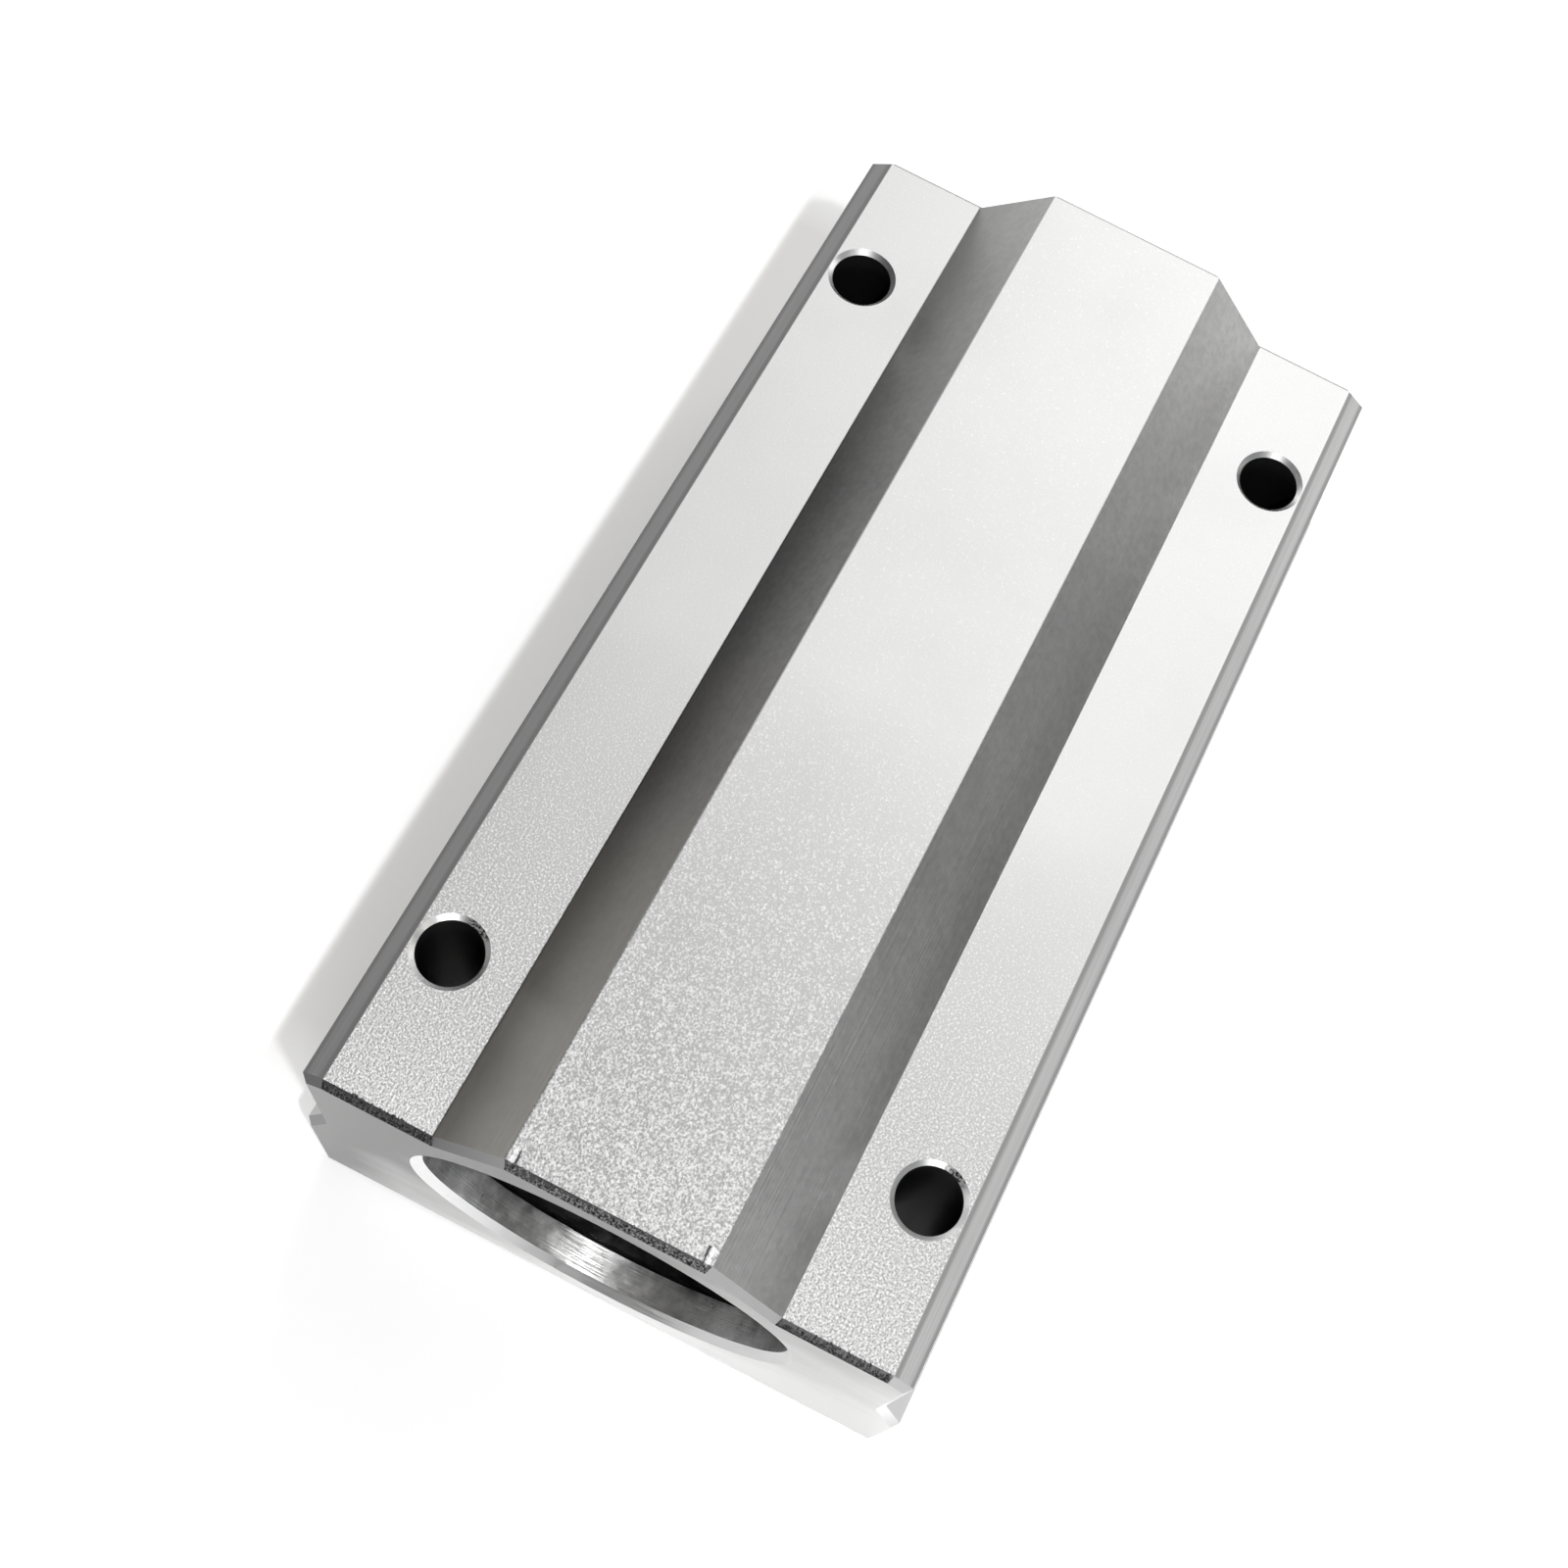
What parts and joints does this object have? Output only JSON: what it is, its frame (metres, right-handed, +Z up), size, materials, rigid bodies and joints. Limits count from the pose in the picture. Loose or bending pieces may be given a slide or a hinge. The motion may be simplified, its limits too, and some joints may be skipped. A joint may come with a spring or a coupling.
{
  "type": "linear bearing block",
  "caption": "Long aluminium linear bearing block with a crowned top, a through bore that holds ball bearings end to end for a round shaft, and bolt holes down through its shoulders.",
  "frame": {"origin": "middle of the mounting face, under the middle of the block", "axes": "+X along the shaft bore from the front end to the rear end, +Z up from the mounting face to the crown"},
  "size_m": [0.096, 0.054, 0.041],
  "materials": {
    "housing_aluminium": "blasted and clear anodised, with milled ends and a turned bore",
    "spacer_aluminium": "turned",
    "ring_steel": "black phosphated and oiled",
    "sleeve_steel": "ground",
    "ball_steel": "polished",
    "cage_resin": "moulded",
    "seal_rubber": "matte"
  },
  "bodies": {
    "root": {"housing": "housing_aluminium", "spacer_ring": "spacer_aluminium", "front_retaining_ring": "ring_steel", "rear_retaining_ring": "ring_steel", "front_sleeve": "sleeve_steel", "rear_sleeve": "sleeve_steel", "front_cage": "cage_resin", "rear_cage": "cage_resin", "front_ball_circuit_1": "ball_steel", "front_ball_circuit_2": "ball_steel", "front_ball_circuit_3": "ball_steel", "front_ball_circuit_4": "ball_steel", "front_ball_circuit_5": "ball_steel", "rear_ball_circuit_1": "ball_steel", "rear_ball_circuit_2": "ball_steel", "rear_ball_circuit_3": "ball_steel", "rear_ball_circuit_4": "ball_steel", "rear_ball_circuit_5": "ball_steel", "front_outer_seal": "seal_rubber", "rear_outer_seal": "seal_rubber", "front_inner_seal": "seal_rubber", "rear_inner_seal": "seal_rubber"}
  },
  "joints": []
}
